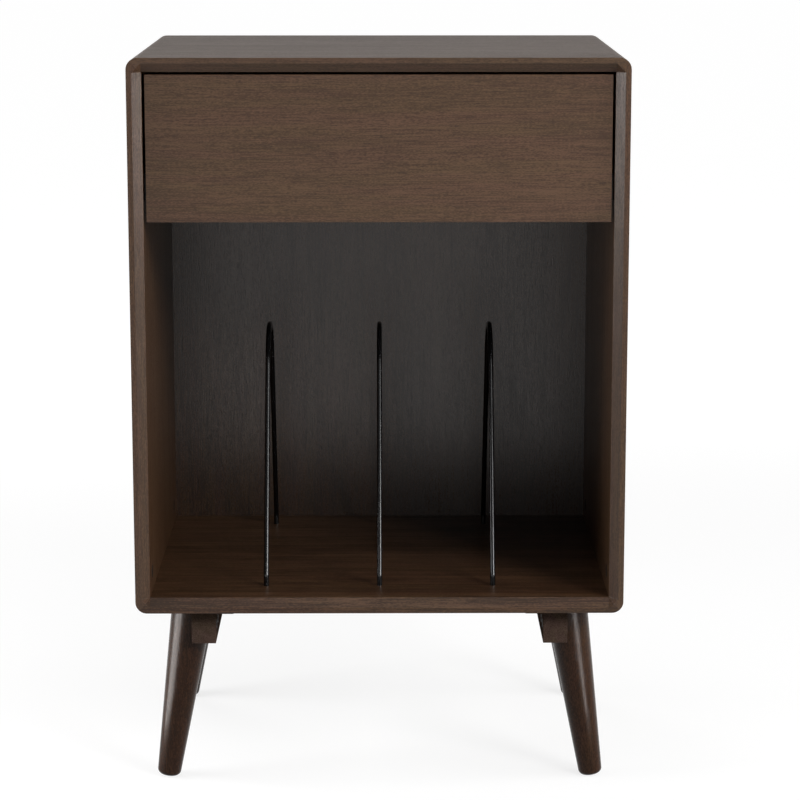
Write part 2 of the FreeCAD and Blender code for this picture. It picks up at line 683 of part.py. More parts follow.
# Legs
def leg_frame():
    """Rails, plates and legs with their fasteners. Returns the holes in the case's underside."""
    into_rail = {"left": FreeCAD.Rotation(Z_AXIS, X_AXIS), "right": FreeCAD.Rotation(Z_AXIS, -X_AXIS)}
    sides = (("left", -1), ("right", 1))
    ends = (("front", -1), ("rear", 1))
    bolt_z = f"({RAIL_BASE} + dims.rail_height / 2)"
    bolt_seat = f"({RAIL_INNER} + dims.leg_bolt_head_height)"
    bolt_places = [
        spot(f"{side} * {bolt_seat}", f"{end} * {LEG_Y} + {step}", bolt_z, into_rail[name])
        for name, side in sides
        for _, end in ends
        for step in steps("dims.leg_bolt_spacing", 2)
    ]
    bolt_holes = fastener(
        "leg_bolts", screw, bolt_places,
        "dims.leg_bolt_radius", f"{RAIL_OUTER} - {bolt_seat} + dims.leg_bolt_grip",
        "dims.leg_bolt_head_radius", "dims.leg_bolt_head_height",
    )[1]

    insert_end = ("0", "0", "-dims.insert_length")
    insert_blank = rod("leg_insert_blank", "dims.insert_radius", "dims.insert_length", insert_end)
    insert_bore = rod(
        "leg_insert_bore", "dims.leg_bolt_radius + dims.fit_clearance",
        "dims.insert_length + 2 * dims.cut_overrun", ("0", "0", "-dims.insert_length - dims.cut_overrun"),
    )
    insert = cut("leg_insert", insert_blank, insert_bore)
    insert_places = [
        spot(f"{side} * {RAIL_OUTER}", f"{end} * {LEG_Y} + {step}", bolt_z, into_rail[name])
        for name, side in sides
        for _, end in ends
        for step in steps("dims.leg_bolt_spacing", 2)
    ]
    keep(group("leg_inserts", insert, insert_places))
    insert_hole = rod(
        "leg_insert_hole", "dims.insert_radius + dims.fit_clearance", "dims.insert_length", insert_end
    )
    insert_holes = group("leg_insert_holes", insert_hole, insert_places)

    upward = FreeCAD.Rotation(X_AXIS, HALF_TURN)
    plate_places = [
        spot(f"{side} * ({PLATE_INNER} + {RAIL_INNER}) / 2", step, PLATE_BASE, upward)
        for _, side in sides
        for step in spread(RAIL_LENGTH, "dims.plate_screw_inset", 4)
    ]
    plate_holes = fastener(
        "plate_screws", countersunk_screw, plate_places,
        "dims.plate_screw_radius", "dims.plate_thickness + dims.plate_screw_reach",
        "dims.plate_screw_head_radius",
    )[1]
    rail_places = [
        spot(f"{side} * ({RAIL_INNER} + {RAIL_OUTER}) / 2", step, UNDERSIDE)
        for _, side in sides
        for step in spread(RAIL_LENGTH, "dims.rail_screw_inset", 3)
    ]
    rail_holes = fastener(
        "rail_screws", countersunk_screw, rail_places,
        "dims.plate_screw_radius", "dims.plate_thickness + dims.rail_screw_reach",
        "dims.plate_screw_head_radius",
    )[1]

    for name, side in sides:
        rails(name, side, bolt_holes, rail_holes, plate_holes)
        for end_name, end in ends:
            leg(f"leg_{end_name}_{name}", side, end, insert_holes)
    return plate_holes


def rails(name, side, bolt_holes, rail_holes, plate_holes):
    """One rail and the plate on top of it, both running front to back."""
    near, far = (RAIL_INNER, RAIL_OUTER) if side > 0 else (f"-{RAIL_OUTER}", f"-{RAIL_INNER}")
    rail_blank = block(
        f"leg_rail_{name}_blank",
        (near, f"-{RAIL_LENGTH} / 2", RAIL_BASE),
        (far, f"({RAIL_LENGTH} / 2)", PLATE_BASE),
    )
    keep(cut(f"leg_rail_{name}", rail_blank, bolt_holes, rail_holes))
    near, far = (PLATE_INNER, RAIL_OUTER) if side > 0 else (f"-{RAIL_OUTER}", f"-{PLATE_INNER}")
    plate_blank = block(
        f"rail_plate_{name}_blank",
        (near, f"-{RAIL_LENGTH} / 2", PLATE_BASE),
        (far, f"({RAIL_LENGTH} / 2)", UNDERSIDE),
    )
    keep(cut(f"rail_plate_{name}", plate_blank, rail_holes, plate_holes))


def leg(label, side, end, insert_holes):
    """A turned leg that leans outwards, cut level at the case and notched over its rail."""
    blank = turned(f"{label}_blank", (
        ("0", "0"),
        ("dims.leg_foot_radius", "0"),
        (f"dims.leg_foot_radius + {TAPER} * {LEG_BLANK_LENGTH}", LEG_BLANK_LENGTH),
        ("0", LEG_BLANK_LENGTH),
    ))
    foot_radius = value("dims.leg_foot_radius")
    round_edges(
        blank, "dims.foot_edge_radius", lambda edge: edge.Closed and edge.BoundBox.ZMax < foot_radius
    )
    turn(blank, Y_AXIS, value(SPLAY))
    bind(blank, **{"Placement.Rotation.Angle": f"{-side} * {SPLAY}"})
    place(blank, f"{side} * {FOOT_X}", f"{end} * {LEG_Y}", FOOT_Z)
    y_low = f"({end} * {LEG_Y} - 2 * dims.leg_top_radius)"
    y_high = f"({end} * {LEG_Y} + 2 * dims.leg_top_radius)"
    above = f"({UNDERSIDE} + dims.leg_top_radius)"
    near, far = ("0", RAIL_OUTER) if side > 0 else (f"-{RAIL_OUTER}", "0")
    notch = block(f"{label}_notch", (near, y_low, RAIL_BASE), (far, y_high, above))
    near, far = ("0", OUTER) if side > 0 else (f"-{OUTER}", "0")
    level = block(f"{label}_level", (near, y_low, UNDERSIDE), (far, y_high, above))
    keep(cut(label, blank, notch, level, insert_holes))


# Drawer
def drawer_fittings():
    """Cams, bolts, dowels and screws of the drawer box, and their holes."""
    forward = FreeCAD.Rotation(X_AXIS, -QUARTER_TURN)
    half_over = FreeCAD.Rotation(Y_AXIS, HALF_TURN)
    axis_depth = "dims.drawer_side_thickness / 2"
    cam_y = f"({DRAWER_START} + dims.drawer_cam_setback)"
    cam_places = [
        spot(f"{side} * {DRAWER_INNER}", cam_y, f"{DRAWER_MIDDLE} + {step}", turned_to)
        for side, turned_to in ((-1, forward), (1, half_over * forward))
        for step in steps("dims.drawer_cam_spacing", 2)
    ]
    keep(group("drawer_cams", cam("drawer_cam", "dims.drawer_cam_depth", axis_depth), cam_places))
    bolt_length = "dims.drawer_cam_setback + dims.drawer_bolt_reach"
    keep(group("drawer_cam_bolts", cam_bolt("drawer_cam_bolt", axis_depth, bolt_length), cam_places))
    cam_bore = rod(
        "drawer_cam_bore", "dims.cam_radius + dims.fit_clearance",
        "dims.drawer_cam_depth + dims.cut_overrun", ("-dims.drawer_cam_depth", "0", "0"), X_AXIS,
    )
    bolt_bore = cam_bolt("drawer_cam_bolt_bore", axis_depth, bolt_length, "dims.fit_clearance")
    cam_bores = group("drawer_cam_bores", fuse("drawer_cam_fitting_bore", cam_bore, bolt_bore), cam_places)

    backward = FreeCAD.Rotation(Z_AXIS, Y_AXIS)
    dowel_x = f"(({DRAWER_INNER} + {DRAWER_OUTER}) / 2)"
    dowel_y = f"({DRAWER_START} - dims.drawer_bolt_reach)"
    dowel_places = [spot(f"{side} * {dowel_x}", dowel_y, DRAWER_MIDDLE, backward) for side in (-1, 1)]
    start = ("0", "0", "0")
    dowel = rod("drawer_dowel", "dims.drawer_dowel_radius", "dims.drawer_dowel_length", start)
    keep(group("drawer_dowels", dowel, dowel_places))
    dowel_bore = rod(
        "drawer_dowel_bore", "dims.drawer_dowel_radius + dims.fit_clearance",
        "dims.drawer_dowel_length", start,
    )
    dowel_bores = group("drawer_dowel_bores", dowel_bore, dowel_places)

    screw_y = f"({DRAWER_END} - dims.drawer_back_thickness / 2)"
    screw_places = [
        spot(f"{side} * {DRAWER_OUTER}", screw_y, f"{DRAWER_MIDDLE} + {step}", outward)
        for side, outward in ((-1, FreeCAD.Rotation(Z_AXIS, -X_AXIS)), (1, FreeCAD.Rotation(Z_AXIS, X_AXIS)))
        for step in steps("dims.drawer_screw_spacing", 2)
    ]
    screw_holes = fastener(
        "drawer_back_screws", countersunk_screw, screw_places,
        "dims.drawer_screw_radius", "dims.drawer_side_thickness + dims.drawer_screw_reach",
        "dims.drawer_screw_head_radius",
    )[1]
    return cam_bores, dowel_bores, screw_holes


def drawer_box(runner_holes):
    """Drawer front, sides, back and bottom, the bottom held in a groove all round."""
    cam_bores, dowel_bores, screw_holes = drawer_fittings()
    groove_top = f"({DRAWER_BOTTOM_BASE} + dims.drawer_bottom_thickness)"
    back_start = f"({DRAWER_END} - dims.drawer_back_thickness)"
    groove_x = f"({DRAWER_INNER} + dims.groove_depth)"
    groove = block(
        "drawer_groove",
        (f"-{groove_x}", f"{DRAWER_START} - dims.groove_depth", DRAWER_BOTTOM_BASE),
        (groove_x, f"({back_start} + dims.groove_depth)", groove_top),
    )
    bottom_x = f"({groove_x} - dims.groove_room)"
    keep(block(
        "drawer_bottom",
        (f"-{bottom_x}", f"{DRAWER_START} - dims.groove_depth + dims.groove_room", DRAWER_BOTTOM_BASE),
        (bottom_x, f"({back_start} + dims.groove_depth - dims.groove_room)", groove_top),
    ))
    front_x = f"({INNER} - dims.drawer_gap)"
    front_blank = block(
        "drawer_front_blank",
        (f"-{front_x}", DRAWER_FACE, DRAWER_FRONT_BASE),
        (front_x, DRAWER_START, f"({CEILING} - dims.drawer_gap)"),
    )
    keep(cut("drawer_front", front_blank, groove, cam_bores, dowel_bores))
    side_top = f"({DRAWER_BASE} + dims.drawer_side_height)"
    for name, near, far in (
        ("left", f"-{DRAWER_OUTER}", f"-{DRAWER_INNER}"),
        ("right", DRAWER_INNER, DRAWER_OUTER),
    ):
        label = f"drawer_{name}_side"
        blank = block(f"{label}_blank", (near, DRAWER_START, DRAWER_BASE), (far, DRAWER_END, side_top))
        keep(cut(label, blank, groove, cam_bores, dowel_bores, screw_holes, runner_holes))
    back_blank = block(
        "drawer_back_blank",
        (f"-{DRAWER_INNER}", back_start, DRAWER_BASE),
        (DRAWER_INNER, DRAWER_END, side_top),
    )
    keep(cut("drawer_back", back_blank, groove, screw_holes))


# Drawer slides
def slide_screws():
    """Screws of the channels into the case and of the runners into the drawer, and their holes."""
    sizes = (
        "dims.slide_screw_radius", "dims.slide_thickness + dims.slide_screw_length",
        "dims.slide_screw_head_radius", "dims.slide_screw_head_height",
    )
    channel_y = f"({CHANNEL_START} + dims.channel_length / 2)"
    runner_y = f"(({DRAWER_START} + {DRAWER_END}) / 2)"
    runner_z = f"({DRAWER_BASE} + dims.runner_screw_rise)"
    channel_places = []
    runner_places = []
    for side, inward in ((-1, X_AXIS), (1, -X_AXIS)):
        for step in steps("dims.slide_screw_spacing", 3):
            channel_places.append(spot(
                f"{side} * ({INNER} - dims.slide_thickness)", f"{channel_y} + {step}", ROLLER_AXIS_Z,
                FreeCAD.Rotation(Z_AXIS, inward),
            ))
            runner_places.append(spot(
                f"{side} * ({DRAWER_OUTER} + dims.slide_thickness)", f"{runner_y} + {step}", runner_z,
                FreeCAD.Rotation(Z_AXIS, -inward),
            ))
    channel_holes = fastener("channel_screws", screw, channel_places, *sizes)[1]
    runner_holes = fastener("runner_screws", screw, runner_places, *sizes)[1]
    return channel_holes, runner_holes


def roller_pin(label, room="0"):
    """A roller's pin along Z: through the sheet, then a shoulder, the roller's seat and a head."""
    seat = "dims.pin_shoulder + dims.roller_width + dims.pin_play"
    return turned(label, (
        ("0", "-dims.slide_thickness"),
        (f"dims.pin_radius + {room}", "-dims.slide_thickness"),
        (f"dims.pin_radius + {room}", "0"),
        ("dims.pin_head_radius", "0"),
        ("dims.pin_head_radius", "dims.pin_shoulder"),
        ("dims.pin_radius", "dims.pin_shoulder"),
        ("dims.pin_radius", seat),
        ("dims.pin_head_radius", seat),
        ("dims.pin_head_radius", f"{seat} + dims.pin_head_height"),
        ("0", f"{seat} + dims.pin_head_height"),
    ))


def roller(label):
    """A roller along Z, with a bevelled rim, that turns on its pin."""
    bore = "dims.pin_radius + dims.running_clearance"
    low = "dims.pin_shoulder + dims.pin_play / 2"
    high = f"{low} + dims.roller_width"
    return turned(label, (
        (bore, low),
        ("dims.roller_radius - dims.roller_edge", low),
        ("dims.roller_radius", f"{low} + dims.roller_edge"),
        ("dims.roller_radius", f"{high} - dims.roller_edge"),
        ("dims.roller_radius - dims.roller_edge", high),
        (bore, high),
    ))


def slides(channel_holes, runner_holes):
    """Channels on the case, runners on the drawer, and a roller on each."""
    channel_places = []
    runner_places = []
    for side, inward in ((-1, X_AXIS), (1, -X_AXIS)):
        channel_places.append(spot(
            f"{side} * ({INNER} - dims.slide_thickness)", CHANNEL_ROLLER_Y, ROLLER_AXIS_Z,
            FreeCAD.Rotation(Z_AXIS, inward),
        ))
        runner_places.append(spot(
            f"{side} * ({DRAWER_OUTER} + dims.slide_thickness)", RUNNER_ROLLER_Y, ROLLER_AXIS_Z,
            FreeCAD.Rotation(Z_AXIS, -inward),
        ))
    pin = roller_pin("roller_pin")
    pin_hole = roller_pin("roller_pin_hole", "dims.fit_clearance")
    wheel = roller("roller")
    for half, places in (("channel", channel_places), ("runner", runner_places)):
        keep(group(f"{half}_roller_pins", pin, places))
        for name, place_of_roller in zip(("left", "right"), places):
            keep(group(f"{half}_roller_{name}", wheel, [place_of_roller]))
    channel_pin_holes = group("channel_pin_holes", pin_hole, channel_places)
    runner_pin_holes = group("runner_pin_holes", pin_hole, runner_places)

    flange_end = "(dims.slide_thickness + dims.slide_gap)"
    for name, side in (("left", -1), ("right", 1)):
        wall = f"{side} * {INNER}"
        web = f"{side} * ({INNER} - dims.slide_thickness)"
        tip = f"{side} * ({DRAWER_OUTER} + {flange_end})"
        channel = padded(f"slide_channel_{name}_blank", "XZ_Plane", (
            (wall, DRAWER_BASE),
            (tip, DRAWER_BASE),
            (tip, f"{DRAWER_BASE} + dims.slide_thickness"),
            (web, f"{DRAWER_BASE} + dims.slide_thickness"),
            (web, f"{CHANNEL_TOP} - dims.slide_thickness"),
            (tip, f"{CHANNEL_TOP} - dims.slide_thickness"),
            (tip, CHANNEL_TOP),
            (wall, CHANNEL_TOP),
        ), "dims.channel_length")
        place(channel, "0", f"{CHANNEL_START} + dims.channel_length / 2", "0")
        keep(cut(f"slide_channel_{name}", channel, channel_holes, channel_pin_holes))

        inside = f"{side} * {DRAWER_INNER}"
        board = f"{side} * {DRAWER_OUTER}"
        web = f"{side} * ({DRAWER_OUTER} + dims.slide_thickness)"
        tip = f"{side} * ({INNER} - {flange_end})"
        runner = padded(f"drawer_runner_{name}_blank", "XZ_Plane", (
            (inside, f"{DRAWER_BASE} - dims.slide_thickness"),
            (web, f"{DRAWER_BASE} - dims.slide_thickness"),
            (web, RUNNER_FLANGE_Z),
            (tip, RUNNER_FLANGE_Z),
            (tip, f"{RUNNER_FLANGE_Z} + dims.slide_thickness"),
            (board, f"{RUNNER_FLANGE_Z} + dims.slide_thickness"),
            (board, DRAWER_BASE),
            (inside, DRAWER_BASE),
        ), "dims.drawer_length")
        place(runner, "0", f"({DRAWER_START} + {DRAWER_END}) / 2", "0")
        keep(cut(f"drawer_runner_{name}", runner, runner_holes, runner_pin_holes))


def export_parts():
    """Checks the whole document, then writes each sub-part under its label."""
    doc.recompute()
    for thing in doc.Objects:
        if "Invalid" in thing.State or "Error" in thing.State:
            raise RuntimeError(f"{thing.Label} did not build: {thing.State}")
    for label, node in nodes.items():
        if node.Shape.isNull() or not node.Shape.isValid() or node.Shape.Volume <= 0:
            raise RuntimeError(f"{label} has no sound shape")
    os.makedirs("parts", exist_ok=True)
    for label, node in nodes.items():
        node.Shape.exportStep(f"parts/{label}.step")
        print(label, len(node.Shape.Solids), round(node.Shape.Volume))


corner_bores = corner_fittings()
back_screw_holes = back_screws()
plate_screw_holes = leg_frame()
channel_screw_holes, runner_screw_holes = slide_screws()
case_panels((*corner_bores, back_screw_holes), dividers(), plate_screw_holes, channel_screw_holes)
back_panel(back_screw_holes)
drawer_box(runner_screw_holes)
slides(channel_screw_holes, runner_screw_holes)
export_parts()
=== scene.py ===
"""Turntable stand: surfaces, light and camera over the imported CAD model, in metres."""

import math

import bmesh
import bpy
from mathutils import Matrix, Vector


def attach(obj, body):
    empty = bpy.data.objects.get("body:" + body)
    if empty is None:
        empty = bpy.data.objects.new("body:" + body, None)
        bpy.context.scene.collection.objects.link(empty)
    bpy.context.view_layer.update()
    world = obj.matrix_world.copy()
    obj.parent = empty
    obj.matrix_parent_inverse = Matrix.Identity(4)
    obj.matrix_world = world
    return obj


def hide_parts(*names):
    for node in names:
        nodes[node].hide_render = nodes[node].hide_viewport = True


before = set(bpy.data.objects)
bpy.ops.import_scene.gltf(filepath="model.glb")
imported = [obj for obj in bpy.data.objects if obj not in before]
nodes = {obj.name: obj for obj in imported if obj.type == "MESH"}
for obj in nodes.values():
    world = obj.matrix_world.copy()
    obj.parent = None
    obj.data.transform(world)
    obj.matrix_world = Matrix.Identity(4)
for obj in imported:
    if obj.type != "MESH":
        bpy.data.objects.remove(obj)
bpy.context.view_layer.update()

ALONG_X, ALONG_Y, ALONG_Z = range(3)
MM = 0.001
WHITE = (1.0, 1.0, 1.0, 1.0)


# Node trees


class Graph:
    """A node tree, with short ways to add and join its nodes."""

    def __init__(self, tree):
        self.tree = tree

    def add(self, kind, **settings):
        node = self.tree.nodes.new(kind)
        for key, setting in settings.items():
            setattr(node, key, setting)
        return node

    def feed(self, socket, source):
        """Joins an output to the socket, or sets the socket to a plain value."""
        if isinstance(source, bpy.types.NodeSocket):
            self.tree.links.new(source, socket)
        else:
            socket.default_value = source

    def calc(self, operation, first, second, clamp=False):
        node = self.add("ShaderNodeMath", operation=operation, use_clamp=clamp)
        self.feed(node.inputs[0], first)
        self.feed(node.inputs[1], second)
        return node.outputs[0]

    def span(self, source, low, high, to_low=0.0, to_high=1.0, curve="LINEAR"):
        """Maps low..high to to_low..to_high, held at the ends."""
        node = self.add("ShaderNodeMapRange", clamp=True, interpolation_type=curve)
        self.feed(node.inputs["Value"], source)
        for key, number in (
            ("From Min", low),
            ("From Max", high),
            ("To Min", to_low),
            ("To Max", to_high),
        ):
            node.inputs[key].default_value = number
        return node.outputs["Result"]

    def seen_directly(self):
        """1 for camera, mirror and glass rays, and 0 for the light that a surface scatters."""
        path = self.add("ShaderNodeLightPath")
        total = path.outputs["Is Camera Ray"]
        for key in ("Is Glossy Ray", "Is Transmission Ray"):
            total = self.calc("ADD", total, path.outputs[key], clamp=True)
        return total


EDGE_SAMPLES = 6
EDGE_TURN = (0.01, 0.16)


class Surface(Graph):
    """A material's node tree, fed by the object's own coordinates."""

    def __init__(self, name):
        self.material = bpy.data.materials.new(name)
        self.material.use_nodes = True
        super().__init__(self.material.node_tree)
        self.shader = self.tree.nodes["Principled BSDF"]
        self.coords = self.add("ShaderNodeTexCoord").outputs["Object"]

    def set(self, **values):
        """Sets sockets of the shader by name, with _ for a space."""
        for key, source in values.items():
            self.feed(self.shader.inputs[key.replace("_", " ")], source)

    def vector_calc(self, operation, first, second):
        node = self.add("ShaderNodeVectorMath", operation=operation)
        self.feed(node.inputs[0], first)
        self.feed(node.inputs[1], second)
        return node.outputs["Value" if operation == "DOT_PRODUCT" else "Vector"]

    def length(self, vector):
        node = self.add("ShaderNodeVectorMath", operation="LENGTH")
        self.feed(node.inputs[0], vector)
        return node.outputs["Value"]

    def noise(self, vector, scale, place, detail, roughness=0.5, output="Fac"):
        """Noise that repeats scale times per metre, from its own place in the pattern."""
        mapping = self.add("ShaderNodeMapping")
        self.feed(mapping.inputs["Vector"], vector)
        mapping.inputs["Scale"].default_value = scale
        mapping.inputs["Location"].default_value = (place,) * 3
        node = self.add("ShaderNodeTexNoise")
        self.feed(node.inputs["Vector"], mapping.outputs["Vector"])
        node.inputs["Scale"].default_value = 1.0
        node.inputs["Detail"].default_value = detail
        node.inputs["Roughness"].default_value = roughness
        return node.outputs[output]

    def even_noise(self, repeats, place, detail):
        """Noise of one scale in all directions."""
        return self.noise(self.coords, (repeats,) * 3, place, detail)

    def ramp(self, source, *stops):
        """Colours by position, from the first stop to the last."""
        node = self.add("ShaderNodeValToRGB")
        self.feed(node.inputs["Fac"], source)
        elements = node.color_ramp.elements
        while len(elements) < len(stops):
            elements.new(0.5)
        for element, (position, colour) in zip(elements, stops):
            element.position = position
            element.color = rgb(colour)
        return node.outputs["Color"]

    def mix(self, share, first, second, mode="MIX"):
        node = self.add("ShaderNodeMix", data_type="RGBA", blend_type=mode)
        self.feed(node.inputs["Factor"], share)
        self.feed(node.inputs["A"], first)
        self.feed(node.inputs["B"], second)
        return node.outputs["Result"]

    def soft_edges(self, radius):
        """The surface's direction with its edges rounded off, and a mask of those edges."""
        node = self.add("ShaderNodeBevel", samples=EDGE_SAMPLES)
        node.inputs["Radius"].default_value = radius
        rounded = node.outputs["Normal"]
        flat = self.add("ShaderNodeNewGeometry").outputs["Normal"]
        turn = self.calc("SUBTRACT", 1.0, self.vector_calc("DOT_PRODUCT", rounded, flat))
        return rounded, self.span(turn, *EDGE_TURN)

    def bump(self, height, strength, distance, normal):
        node = self.add("ShaderNodeBump")
        node.inputs["Strength"].default_value = strength
        node.inputs["Distance"].default_value = distance
        self.feed(node.inputs["Height"], height)
        self.feed(node.inputs["Normal"], normal)
        return node.outputs["Normal"]


def rgb(colour, share=1.0):
    """A colour as a socket takes it, darker or lighter by a share."""
    return (*(share * part for part in colour), 1.0)


# Materials

# Layers of the grain: repeats per metre along and across it, place in the pattern, detail and
# roughness
GRAIN_LAYERS = {
    "drift": (1.6, 5.0, 0.0, 1.5, 0.5),
    "bands": (0.7, 20.0, 3.1, 3.0, 0.5),
    "figure": (4.0, 120.0, 7.7, 4.0, 0.62),
    "fibre": (22.0, 900.0, 1.3, 2.5, 0.65),
    "flecks": (330.0, 1050.0, 2.6, 1.0, 0.5),
    "cast": (5.0, 90.0, 8.4, 2.0, 0.5),
    "pores": (80.0, 1100.0, 5.9, 1.0, 0.5),
}
FINE_GRAIN = {"bands": 0.12, "figure": 0.14, "fibre": 0.39, "flecks": 0.35}
BOLD_GRAIN = {"bands": 0.12, "figure": 0.31, "fibre": 0.35, "flecks": 0.22}
GRAIN_SWAY = 0.016
MIDDLE = 0.5
TONE_REACH = 0.052
CAST_SPAN = (0.38, 0.62)
COOL_CAST, WARM_CAST = (1.02, 0.985, 1.03), (0.985, 1.02, 0.95)
PORE_SPAN = (0.57, 0.66)
PORE_SHARE, PORE_SHADE = 0.45, 0.45
# Wood edges painted lighter, partly as wear and partly as a painted highlight: where along the
# figure, and how much lighter than the light tone
WEAR_AND_HIGHLIGHT_SPAN = (0.40, 0.60, 0.15, 0.55)
WEAR_AND_HIGHLIGHT_SHADE = 1.55
WOOD_EDGE = 0.0009
WOOD_BUMP = {"strength": 0.22, "distance": 0.00025}
FIBRE_HEIGHT = 0.5
TONE_SPAN = (0.40, 0.60)
DARK_DULLER, LIGHT_GLOSSIER = 0.07, 0.05


def wood(name, along, tones, seed, roughness=0.36, specular=0.42, contrast=1.0, shares=FINE_GRAIN):
    """Stained veneer: bands, a wandering figure, fine fibre and dark pores along one axis."""
    s = Surface(name)

    def layer(key, vector, output="Fac"):
        lengthwise, across, place, detail, rough = GRAIN_LAYERS[key]
        scale = [across] * 3
        scale[along] = lengthwise
        return s.noise(vector, scale, seed + place, detail, rough, output)

    sway = [GRAIN_SWAY] * 3
    sway[along] = 0.0
    drift = s.vector_calc("SUBTRACT", layer("drift", s.coords, "Color"), (MIDDLE,) * 3)
    wander = s.vector_calc("ADD", s.coords, s.vector_calc("MULTIPLY", drift, sway))
    grain = {key: layer(key, wander) for key in shares}

    tone = 0.0
    for key, share in shares.items():
        tone = s.calc("ADD", tone, s.calc("MULTIPLY", grain[key], share))
    dark, middle, light = tones
    reach = TONE_REACH / contrast
    colour = s.ramp(tone, (MIDDLE - reach, dark), (MIDDLE, middle), (MIDDLE + reach, light))
    tint = s.mix(s.span(layer("cast", wander), *CAST_SPAN), rgb(COOL_CAST), rgb(WARM_CAST))
    colour = s.mix(1.0, colour, tint, "MULTIPLY")
    pits = s.span(layer("pores", wander), *PORE_SPAN)
    colour = s.mix(s.calc("MULTIPLY", pits, PORE_SHARE), colour, rgb(dark, PORE_SHADE))

    rounded, edges = s.soft_edges(WOOD_EDGE)
    # Edges painted lighter: partly wear, partly a painted highlight on the rounded edges
    wear_and_highlight = s.calc("MULTIPLY", edges, s.span(grain["figure"], *WEAR_AND_HIGHLIGHT_SPAN))
    colour = s.mix(wear_and_highlight, colour, rgb(light, WEAR_AND_HIGHLIGHT_SHADE))

    height = s.calc("SUBTRACT", s.calc("MULTIPLY", grain["fibre"], FIBRE_HEIGHT), pits)
    s.set(
        Base_Color=colour,
        Roughness=s.span(tone, *TONE_SPAN, roughness + DARK_DULLER, roughness - LIGHT_GLOSSIER),
        Specular_IOR_Level=specular,
        Normal=s.bump(height, normal=rounded, **WOOD_BUMP),
    )
    return s.material


CLOUD_SPAN = (0.35, 0.65)
GLOSS_SPAN = (0.30, 0.70)

METAL_CLOUDS = {"repeats": 60.0, "place": 2.0, "detail": 4.0}
METAL_LINES = {"repeats": 420.0, "place": 4.0, "detail": 3.0}
METAL_DULL_SHADE = 0.80
METAL_GLOSSIER, METAL_DULLER = 0.08, 0.10
METAL_EDGE = 0.0003
METAL_BUMP = {"strength": 0.10, "distance": 0.0001}


def metal(name, colour, roughness):
    """Plated steel or brass: cloudy, a little darker where it is dull."""
    s = Surface(name)
    dull = s.span(s.even_noise(**METAL_CLOUDS), *CLOUD_SPAN)
    lines = s.even_noise(**METAL_LINES)
    rounded, _ = s.soft_edges(METAL_EDGE)
    s.set(
        Base_Color=s.mix(dull, rgb(colour, METAL_DULL_SHADE), rgb(colour)),
        Metallic=1.0,
        Roughness=s.span(lines, *GLOSS_SPAN, roughness - METAL_GLOSSIER, roughness + METAL_DULLER),
        Normal=s.bump(lines, normal=rounded, **METAL_BUMP),
    )
    return s.material


COAT_CLOUDS = {"repeats": 25.0, "place": 6.0, "detail": 3.0}
COAT_SKIN = {"place": 1.0, "detail": 2.0}
COAT_CLOUD_SHADE = 0.86
COAT_GLOSSIER, COAT_DULLER = 0.03, 0.05
COAT_EDGE = 0.0004
RUBBED_SHARE = 0.25
RUBBED_LIFT = 0.05
PEEL_DEPTH = 0.0002


def coated(name, colour, roughness, specular=0.5, peel=900.0, strength=0.06):
    """A sprayed or moulded skin: fine orange peel, faint clouds, rubbed edges."""
    s = Surface(name)
    skin = s.even_noise(peel, **COAT_SKIN)
    clouds = s.even_noise(**COAT_CLOUDS)
    rounded, edges = s.soft_edges(COAT_EDGE)
    shade = s.mix(s.span(clouds, *CLOUD_SPAN), rgb(colour, COAT_CLOUD_SHADE), rgb(colour))
    rubbed = rgb(RUBBED_LIFT + (1.0 - RUBBED_LIFT) * part for part in colour)
    s.set(
        Base_Color=s.mix(s.calc("MULTIPLY", edges, RUBBED_SHARE), shade, rubbed),
        Roughness=s.span(clouds, *GLOSS_SPAN, roughness - COAT_GLOSSIER, roughness + COAT_DULLER),
        Specular_IOR_Level=specular,
        Normal=s.bump(skin, strength, PEEL_DEPTH, rounded),
    )
    return s.material


# Dark, middle and light tone of each wood
CASE_TONES = ((0.050, 0.0246, 0.0121), (0.075, 0.0384, 0.0196), (0.100, 0.0532, 0.0282))
SIDE_TONES = ((0.051, 0.0243, 0.0117), (0.077, 0.0383, 0.0190), (0.103, 0.0533, 0.0275))
# The bottom panel's tones are mostly darker than the case's: painted shade against the floor's
# bounce light on its front
BOTTOM_SHADED_TONES = ((0.038, 0.0178, 0.0083), (0.067, 0.0326, 0.0157), (0.104, 0.0525, 0.0266))
DRAWER_TONES = ((0.061, 0.0301, 0.0150), (0.092, 0.0473, 0.0244), (0.123, 0.0654, 0.0346))
BACK_TONES = ((0.022, 0.0111, 0.0064), (0.039, 0.0205, 0.0122), (0.061, 0.0339, 0.0203))
LEG_TONES = ((0.023, 0.0090, 0.0038), (0.037, 0.015, 0.0064), (0.054, 0.023, 0.0102))
# The rails' tones are painted lighter than the legs': painted light on the rail ends, in place of
# their sheen and of the light that the case's shadow takes from them
RAIL_PAINTED_LIGHT_TONES = ((0.061, 0.0385, 0.0290), (0.094, 0.0620, 0.0475), (0.132, 0.0885, 0.0685))
BOARD_TONES = ((0.068, 0.048, 0.037), (0.085, 0.062, 0.050), (0.104, 0.078, 0.063))
BEECH_TONES = ((0.42, 0.28, 0.16), (0.55, 0.40, 0.25), (0.66, 0.50, 0.33))

